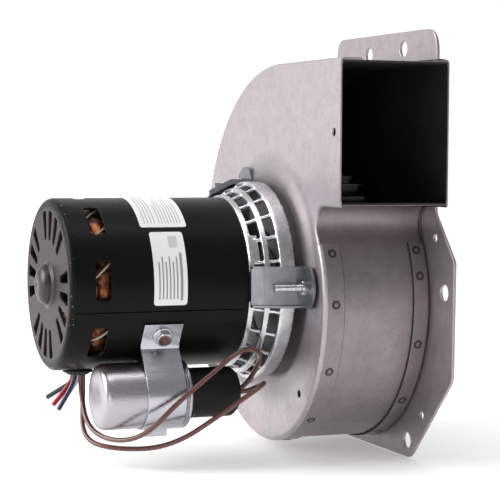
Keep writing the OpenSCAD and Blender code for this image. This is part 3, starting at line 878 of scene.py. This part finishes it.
def end_bell():
    """Rear bell: slotted face, rounded rim and a domed boss for the bearing."""
    slots = []
    slot_in_r = 22
    slot_out_r = 36
    slot_pitch = 18
    first_group = -17
    corners = [(slot_in_r, -1.6), (slot_out_r, -3), (slot_out_r, 3), (slot_in_r, 1.6)]
    for group in range(4):
        for k in (-1.5, -0.5, 0.5, 1.5):
            turn = math.radians(first_group + 90 * group + slot_pitch * k)
            spun = [(r * math.cos(turn) - s * math.sin(turn), r * math.sin(turn) + s * math.cos(turn))
                    for r, s in corners]
            slots.append(rounded(spun, 1.5, 5))
    shape = Shape()
    back_y = BELL_FACE + BELL_T
    face_r = 38.4
    shape.take(sheet(circle(face_r, steps=120), slots, BELL_FACE, back_y, 0.35))
    rim_r = 3
    inner_r = 37.9
    skirt_in_r = 38.8
    skirt_out_r = SHELL_R - SHELL_T - 0.1
    skirt_y = SHELL_BACK + 6
    rim = [(inner_r, back_y), (inner_r, BELL_FACE)]
    rim += arc((SHELL_R - rim_r, BELL_FACE + rim_r), rim_r, -90, 0, 8)
    rim += [(SHELL_R, SHELL_BACK - 0.25), (SHELL_R - 0.35, SHELL_BACK), (skirt_out_r, SHELL_BACK),
            (skirt_out_r, skirt_y), (skirt_in_r, skirt_y), (skirt_in_r, back_y)]
    shape.turned(rim, 144, finish=1)
    boss_r = 9.8
    socket_out_r = 11
    socket_in_r = 7.8
    socket_y = BELL_FACE + 8.2
    boss = [(AXIS_R, BOSS_FACE + 0.3), (5.0, BOSS_FACE), (boss_r - 1.4, BOSS_FACE + 1.5),
            (boss_r, BOSS_FACE + 3.6), (boss_r, BELL_FACE - 0.9), (boss_r + 2.2, BELL_FACE - 0.02),
            (boss_r + 3.2, BELL_FACE + 1.5), (socket_out_r, back_y), (socket_out_r, socket_y),
            (socket_in_r, socket_y), (socket_in_r, BOSS_FACE + 3.0), (4.5, BOSS_FACE + 1.8),
            (AXIS_R, BOSS_FACE + 1.6)]
    shape.turned(rounded(boss, 1.8, 5), finish=2)
    piece("bell_casting", shape, "rear_end_bell", [MATERIALS["rim_paint"], MATERIALS["boss_metal"]])


def end_turns():
    """Copper end turns with their lacing cords, in place of the plain windings."""
    shape = Shape()
    core_low, core_high = box_mm("stator_core")
    steps = 288
    middle_r = 32
    height = 14
    corners = [(25.4, 0), (25.4, -9), (29, -13.6), (35, -13.6), (38, -10), (38.1, -4), (34.6, 0)]
    section = rounded(corners, 3, 4)
    draw = random.Random(7)
    waves = [(draw.randint(5, 17), draw.uniform(0, 6.28), draw.uniform(0.15, 0.4)) for _ in range(5)]
    for face, side in ((core_low.y, 1), (core_high.y, -1)):

        def grown(r, depth, grow, degrees):
            return polar(middle_r + (r - middle_r) * grow, degrees, face + side * depth * grow)

        rings = []
        for i in range(steps):
            angle = 2 * math.pi * i / steps
            swell = sum(size * math.sin(count * angle + phase) for count, phase, size in waves)
            ring = []
            for k, (r, depth) in enumerate(section):
                ridge = 0.22 * math.sin(2.4 * k + swell * 3)
                grow = 1 + (ridge + 0.35 * swell) / height if depth < -1 else 1
                ring.append(grown(r, depth, grow, math.degrees(angle)))
            rings.append(ring)
        shape.loft(rings, loop=True)
        for k in range(LACE_COUNT):
            start = 360 * k / LACE_COUNT + draw.uniform(-4, 4)
            loop = [grown(r, depth, 1.05, start + LACE_LEAN * depth) for r, depth in section + section[:1]]
            sweep(shape, loop, 0.5, 8, finish=1)
    cord = finish("lacing_cord", (0.5, 0.43, 0.34), 0.7, grain=3000, depth=0.1)
    piece("end_turns", shape, "stator_windings", [cord])


def label(name, node, angles, lines):
    """Wrapped label with round corners and a few plain grey rules.

    A line is its start, end and height as shares of the label, its thickness and its finish.
    """
    low, high = box_mm(node)
    radius = SHELL_R + 0.12
    per_degree = math.radians(1) * radius
    u0, u1 = (a * per_degree for a in angles)
    shape = Shape()
    shape.take(wrap(sheet(rounded_box(u0, u1, low.y, high.y, 1.6), [], -0.1, 0.1, 0.05), radius))
    margin = 2.4
    for start, end, v, thick, mark in lines:
        a = u0 + margin + (u1 - u0 - 2 * margin) * start
        b = u0 + margin + (u1 - u0 - 2 * margin) * end
        place = low.y + margin + (high.y - low.y - 2 * margin) * v
        low_v = place - thick / 2
        high_v = place + thick / 2
        bar = [(a, low_v), (b, low_v), (b, high_v), (a, high_v)]
        shape.take(wrap(sheet(bar, [], 0.06, 0.13, 0.01), radius), finish=mark)
    grey = finish("label_rule", (0.30, 0.29, 0.31), 0.5)
    pale = finish("label_panel", (0.62, 0.61, 0.64), 0.5)
    piece(name, shape, node, [grey, pale])


def labels():
    """Both labels. The rules stand in for print and spell nothing."""
    rules = [(0.0, 0.9 - 0.2 * (k % 2), 0.02 + 0.09 * k, 0.35, 1) for k in range(4)]
    for k in range(8):
        rules.append((0.0, 0.28 + 0.1 * (k % 3), 0.42 + 0.08 * k, 0.32, 1))
        rules.append((0.55, 0.8 + 0.1 * (k % 3), 0.42 + 0.08 * k, 0.32, 1))
    label("rating_sticker", "rating_label", (43, 125), rules)
    rules = [(0.0, 0.72, 0.96, 1.3, 1)]
    rules += [(0.02, 0.66 - 0.08 * (k % 2), 0.78 - 0.15 * k, 0.7, 1) for k in range(6)]
    rules += [(0.8, 1.0, 0.72, 4.5, 2)]
    label("wiring_sticker", "wiring_label", (-11, 39), rules)


def front_cage():
    """Cast cage: the CAD shape with its corners melted into small fillets."""
    obj = piece("front_cage", merged_copy("front_end_shield"), "front_end_shield", sharp=180)
    melt = obj.modifiers.new("melt", "REMESH")
    melt.mode = "VOXEL"
    melt.voxel_size = 0.4 * MM
    melt.use_smooth_shade = True
    ease = obj.modifiers.new("ease", "SMOOTH")
    ease.factor = 0.5
    ease.iterations = 4


def hexagon(flat_half, limit, height):
    """Ring of a hexagon whose corners are cut at a radius."""
    ring = []
    steps = 48
    for i in range(steps):
        degrees = 360 * i / steps
        away = (degrees % 60) - 30
        radius = min(flat_half / math.cos(math.radians(away)), limit)
        angle = math.radians(degrees)
        ring.append((radius * math.cos(angle), radius * math.sin(angle), height))
    return ring


def thread(shape, place, radius, length):
    """Threaded rod along local Z, from 0 to length."""
    pitch = 0.8
    groove = 0.28
    sides = 24
    rings = []
    steps = int(length / pitch * 6)
    for i in range(steps + 1):
        height = length * i / steps
        ring = []
        for k, (c, s) in enumerate(full_turn(sides)):
            turn = (height / pitch + k / sides) % 1.0
            r = radius - groove * abs(2 * turn - 1)
            ring.append((r * c, r * s, height))
        rings.append(ring)
    shape.loft(rings, place=place)


def fixings():
    """Threaded mount screws with their nuts."""
    screws = Shape()
    nuts = Shape()
    low_y = box_mm("mount_screws")[0].y
    foot_y = PANEL_Y - 1.2
    head_flat = 2.94
    head = [hexagon(head_flat, r, h) for r, h in ((3.4, 0), (3.4, 2.0), (3.0, 2.4))]
    nut_flat = 3.38
    nut_h = 3.1
    hole_r = SCREW_R + 0.05
    profile = ((3.4, 0), (3.9, 0.5), (3.9, nut_h - 0.5), (3.4, nut_h))
    nut = [hexagon(hole_r, hole_r, 0.25)] + [hexagon(nut_flat, r, h) for r, h in profile]
    for angle in BRACKET_ANGLES:
        stud, seat, foot = (facing(polar(SCREW_X, angle, y), (0, 1, 0))
                            for y in (low_y, PANEL_Y + SHEET_T, foot_y - nut_h))
        thread(screws, stud, SCREW_R, PANEL_Y - low_y)
        screws.loft(head, place=seat)
        nuts.loft(nut, place=foot)
    piece("threaded_screws", screws, "mount_screws", look=BRIGHT_ZINC)
    piece("chamfered_nuts", nuts, "mount_nuts", look=BRIGHT_ZINC)


# ---- Capacitor ----


def can():
    """Drawn can with a domed end and a double crimp at its rim."""
    r = CAN_R
    crown = [(AXIS_R, CAN_BACK + 0.3), (9, CAN_BACK), (r - 0.6, CAN_BACK + 0.8), (r, CAN_BACK + 6)]
    profile = rounded(crown, 3.4, 8, closed=False)
    profile += [(r, CAN_END - 2.9), (r + 0.5, CAN_END - 2.7), (r + CAN_RIM, CAN_END - 2.3),
                (r + 0.6, CAN_END - 1.7), (r + 0.2, CAN_END - 1.4), (r + 0.6, CAN_END - 1.1),
                (r + CAN_RIM, CAN_END - 0.5), (r + 0.5, CAN_END), (r - 0.8, CAN_END),
                (r - 0.9, CAN_END - 0.9), (r - 1.3, CAN_END - 2.4), (AXIS_R, CAN_END - 2.4)]
    shape = Shape()
    shape.turned(profile, 128, (CAN_X, CAN_Z))
    piece("can_shell", shape, "capacitor_can")


def boot():
    """Moulded cap with a soft chamfer, a skirt and two wire collars."""
    start = CAN_END + 0.1
    skirt_r = BOOT_R + 0.1
    body_r = BOOT_R - 0.3
    outline = [(AXIS_R, start), (skirt_r, start), (skirt_r, start + 3), (body_r, start + 3.8),
               (body_r, BOOT_END - 3), (BOOT_R - 3, BOOT_END - 0.1), (AXIS_R, BOOT_END)]
    shape = Shape()
    shape.turned(rounded(outline, 1.0, 4), centre=(CAN_X, CAN_Z))
    collar = [(AXIS_R, -1), (2.5, -1), (2.5, 0.3), (1.9, 1.2), (1.2, 1.2), (AXIS_R, 1.2)]
    for side in (-4, 4):
        shape.spun(rounded(collar, 0.4), facing((CAN_X + side, BOOT_END, CAN_Z), (0, 1, 0)), 24)
    piece("boot_moulding", shape, "capacitor_boot")


def strap_line():
    """Line of the strap's outer face, from the tab round under the can."""
    out = unit(TAB_ANGLE)
    along = Vector((-out.y, out.x))
    tab_middle = (SHELL_R + FIT + STRAP_T) * out
    knee = tab_middle - TAB_LEN / 2 * along
    centre = Vector((CAN_X, CAN_Z))
    from_can = knee - centre
    loop_r = CAN_R + CAN_GAP + STRAP_T
    leave = math.degrees(math.atan2(from_can.y, from_can.x) - math.acos(loop_r / from_can.length))
    start = [tab_middle + TAB_LEN / 2 * along, tab_middle, knee + 1.2 * along]
    bend = centre + loop_r * unit(leave)
    straight = [knee.lerp(bend, t) for t in (0.06, 0.5, 0.94)]
    return [tuple(p) for p in start + straight] + arc(centre, loop_r, leave, -290, 72)


def strap():
    """Spring strap with rounded edges, and the folded lug underneath."""
    line = [Vector(p) for p in strap_line()]
    y0, y1 = strap_low.y, strap_high.y
    section = rounded([(0, y0), (0, y1), (-STRAP_T, y1), (-STRAP_T, y0)], 0.35)
    tab_points = 7
    rings = []
    for i, point in enumerate(line):
        ahead = (line[min(i + 1, len(line) - 1)] - line[max(i - 1, 0)]).normalized()
        outward = Vector((-ahead.y, ahead.x))
        inside = Vector((0, 0)) if i < tab_points else Vector((CAN_X, CAN_Z))
        if outward.dot(point - inside) < 0:
            outward = -outward
        rings.append([(point.x + outward.x * off, y, point.y + outward.y * off) for off, y in section])
    shape = Shape()
    shape.loft(rings)
    out = polar(1, LUG_ANGLE, 0)
    along = Vector((-out.z, 0, out.x))
    base = Vector((CAN_X, (y0 + y1) / 2, CAN_Z)) + out * (CAN_R + CAN_GAP + STRAP_T / 2)
    half = (y1 - y0) / 2 - 4
    for side in (-0.45, 0.45):
        ear = sheet(rounded_box(-half, half, 0, 4.4, 0.9), [], -0.38, 0.38, 0.15)
        for vert in ear.vertices:
            across, thick, reach = vert.co
            vert.co = base + along * (thick + side) + Vector((0, across, 0)) + out * reach
        shape.take(ear)
    piece("strap_band", shape, "capacitor_strap")


def strap_screw():
    """Hex-washer screw with a dished head."""
    shape = Shape()
    out = polar(1, TAB_ANGLE, 0)
    place = facing(polar(SHELL_R + FIT + STRAP_T + 0.02, TAB_ANGLE, TAB_SCREW_Y), out)
    washer = [(AXIS_R, 0), (4.9, 0), (5.0, 0.5), (4.7, 0.9), (AXIS_R, 0.95)]
    shape.spun(rounded(washer, 0.3), place, 48)
    flat = 3.64
    dish = [hexagon(r, r, h) for r, h in ((2.6, 3.2), (0.01, 3.1))]
    head = [hexagon(flat, r, h) for r, h in ((4.2, 0.8), (4.2, 3.1), (3.8, 3.7), (3.3, 3.8))]
    shape.loft(head, place=place)
    shape.loft([head[-1]] + dish, finish=1, place=place)
    stain = finish("screw_recess", (0.22, 0.07, 0.04), 0.45, 0.7, cloud=900, uneven=0.4)
    piece("hex_washer_screw", shape, "strap_screw", [stain], look=BRIGHT_ZINC)


# ---- Wires ----


def wire_exit(i, z):
    """Where wire number i passes through the grommet. Number 5 is in the middle."""
    reach = 0 if i == 5 else 2.7
    angle = math.radians(18 + 72 * i)
    return Vector((reach * math.cos(angle), GROMMET_Y + reach * math.sin(angle), z))


def grommet():
    """Rubber ring with a groove that grips the shell."""
    shape = Shape()
    hole_r = 4.25
    neck_r = 5.9
    collar_r = 7.4
    section = [(hole_r, 1.6), (hole_r, 6), (neck_r, 6), (neck_r, 3.95), (collar_r, 3.9),
               (collar_r, 2.7), (5.8, 2.4), (5.4, 1.6)]
    place = Matrix.Translation((0, GROMMET_Y, GROMMET_FOOT_Z))
    rings = [[(r * c, r * s, h) for r, h in rounded(section, 0.5)] for c, s in full_turn(48)]
    shape.loft(rings, loop=True, place=place)
    piece("grommet_ring", shape, "lead_grommet")


def cut_lead(name, node, i, tip):
    """Insulated lead, cut square, with its copper strands just showing at the end."""
    start = wire_exit(i, WIRE_TOP_Z)
    tip = Vector(tip)
    middle = start + Vector((tip.x * 0.4, tip.y * 0.4, tip.z * 0.66))
    straight = [start, wire_exit(i, WIRE_BEND_Z), wire_exit(i, WIRE_BEND_Z - 4)]
    path = smooth_path(straight + [middle, start + tip], 8)
    shape = Shape()
    sweep(shape, path, WIRE_R)
    end = path[-1]
    heading = (path[-1] - path[-2]).normalized()
    side = heading.orthogonal().normalized()
    for k in range(7):
        reach = 0 if k == 6 else 0.5
        strand = []
        for m in range(6):
            turn = Matrix.Rotation(math.radians(60 * k + 20 * m), 3, heading)
            strand.append(end - heading * 0.5 + heading * (0.16 * m) + turn @ side * reach)
        sweep(shape, strand, 0.24, 8, finish=1)
    copper = finish(name + "_copper", (0.72, 0.35, 0.18), 0.3, 0.95)
    piece(name, shape, node, [copper])


def capacitor_wire(name, node, i, drop_z, side, round_can):
    """Wire number i from the grommet round to one side of the capacitor's boot."""
    start = [wire_exit(i, z) for z in (WIRE_TOP_Z, WIRE_BEND_Z, drop_z)]
    end = [(CAN_X + side, BOOT_END - depth, CAN_Z) for depth in (1, 5)]
    shape = Shape()
    sweep(shape, smooth_path(start + round_can + end, 10), WIRE_R, 20)
    piece(name, shape, node)


def wires():
    """Two capacitor wires and four cut leads, along the CAD paths."""
    leads = (("green", 2, (-5.4, -14.3, -16.9)), ("red", 3, (1.4, -10.2, -19.6)),
             ("white", 5, (-4.2, -7.5, -19.8)), ("blue", 4, (2.4, -8.7, -21.4)))
    for color, i, tip in leads:
        cut_lead(color + "_lead", "lead_" + color, i, tip)
    capacitor_wire("wire_to_boot_a", "capacitor_wire_a", 1, -56, 4, [
        (12, -160, -75), (29, -148, -78), (42, -124, -76), (49, -98, -58), (50, -84, -49),
        (46, -77.5, -46), (CAN_X + 5, -77, CAN_Z + 2), (CAN_X + 4, -82.5, CAN_Z)])
    capacitor_wire("wire_to_boot_b", "capacitor_wire_b", 0, -53, -4, [
        (14, -158, -69), (30, -150, -74), (49, -140, -69), (51, -124, -53), (48, -108, -42),
        (46, -90, -29), (43, -80.5, -31), (34, -75.5, -36),
        (CAN_X - 3.4, -76.5, CAN_Z + 6), (CAN_X - 4, -82, CAN_Z)])


# ---- Stage ----


def stage_white():
    """Even pale surface, which glows a little like a lit backdrop."""
    pale = (0.93, 0.93, 0.93, 1)
    return Nodes("stage_white").finished(Base_Color=pale, Roughness=0.9, Emission_Color=pale,
                                         Emission_Strength=0.3)


def sweep_floor():
    """Pale floor that curves up into a backdrop."""
    floor_z = cad_bounds[0][2] - 0.0005
    look = camera_look()
    level = Vector((look.x, look.y, 0)).normalized()
    side = Vector((-level.y, level.x, 0))
    bend = arc((1.2, 1.2), 1.2, -90, 0, 16)
    profile = [(-4, 0)] + bend + [(2.4, 6)]
    verts = [level * reach + side * across + Vector((0, 0, floor_z + height))
             for reach, height in profile for across in (-6, 6)]
    faces = [(2 * i, 2 * i + 1, 2 * i + 3, 2 * i + 2) for i in range(len(profile) - 1)]
    data = bpy.data.meshes.new("stage_floor")
    data.from_pydata(verts, [], faces)
    data.shade_smooth()
    obj = bpy.data.objects.new("stage_floor", data)
    data.materials.append(stage_white())
    bpy.context.scene.collection.objects.link(obj)


def camera_look():
    """Direction in which the camera looks."""
    azimuth = math.radians(CAMERA_AZIMUTH)
    rise = math.radians(CAMERA_RISE)
    level = Vector((-math.sin(azimuth), math.cos(azimuth), 0))
    return level * math.cos(rise) - Vector((0, 0, math.sin(rise)))


def camera():
    """Camera at the photograph's viewing angle."""
    data = bpy.data.cameras.new("camera")
    data.lens = CAMERA_LENS
    data.clip_start = 0.01
    obj = bpy.data.objects.new("camera", data)
    look = camera_look()
    place = Matrix.Translation(Vector(CAMERA_TARGET) - look * CAMERA_DISTANCE)
    turn = look.to_track_quat("-Z", "Y").to_matrix().to_4x4()
    obj.matrix_world = place @ turn @ Matrix.Rotation(math.radians(CAMERA_ROLL), 4, "Z")
    bpy.context.scene.collection.objects.link(obj)
    bpy.context.scene.camera = obj


def area_light(name, place, size, power):
    """Soft rectangular light aimed at the fan."""
    aim = Vector((0, -0.07, 0))
    data = bpy.data.lights.new(name, "AREA")
    data.shape = "RECTANGLE"
    data.size, data.size_y = size
    data.energy = power
    obj = bpy.data.objects.new(name, data)
    obj.location = place
    obj.rotation_euler = (aim - Vector(place)).to_track_quat("-Z", "Y").to_euler()
    bpy.context.scene.collection.objects.link(obj)


def lights():
    """Soft studio light: a large key on the motor's side, a top strip and a weak fill.

    The camera sees the surroundings as white, but they light the fan only weakly.
    """
    area_light("key", (-0.5, -1.7, 0.8), (1.3, 1.3), 42)
    area_light("top", (0.1, -0.2, 1.5), (1.2, 0.9), 9)
    area_light("fill", (1.4, -0.8, 0.05), (0.5, 0.25), 1.6)
    bpy.context.scene.view_settings.view_transform = "Standard"
    world = bpy.data.worlds.new("studio")
    bpy.context.scene.world = world
    world.use_nodes = True
    tree = world.node_tree
    background = tree.nodes["Background"]
    background.inputs["Color"].default_value = (1, 1, 1, 1)
    seen = tree.nodes.new("ShaderNodeMapRange")
    tree.links.new(tree.nodes.new("ShaderNodeLightPath").outputs["Is Camera Ray"], seen.inputs["Value"])
    seen.inputs["To Min"].default_value = 0.35
    seen.inputs["To Max"].default_value = 1.0
    tree.links.new(seen.outputs["Result"], background.inputs["Strength"])


# ---- Build ----


def housing():
    scroll_sheet()
    front_plate()
    rear_plate()
    spot_welds()
    mounting_plate()
    fixings()


def motor():
    motor_shell()
    end_bell()
    end_turns()
    labels()
    front_cage()
    grommet()


def capacitor():
    can()
    boot()
    strap()
    strap_screw()


def plain_nodes():
    """Nodes that no drawn piece stands for keep their CAD shape, with their edges eased."""
    edges = {"mount_brackets": 0.35, "shaft_seal": 0.3, "rear_bearing": 0.2, "front_bearing": 0.2,
             "rear_oil_felt": 0.2, "front_oil_felt": 0.2}
    for part in frame["record"]["subparts"]:
        if part["node"] not in DRESSED:
            soft_edged(part["node"], edges.get(part["node"], 0.15))


housing()
motor()
capacitor()
wires()
plain_nodes()
sweep_floor()
camera()
lights()
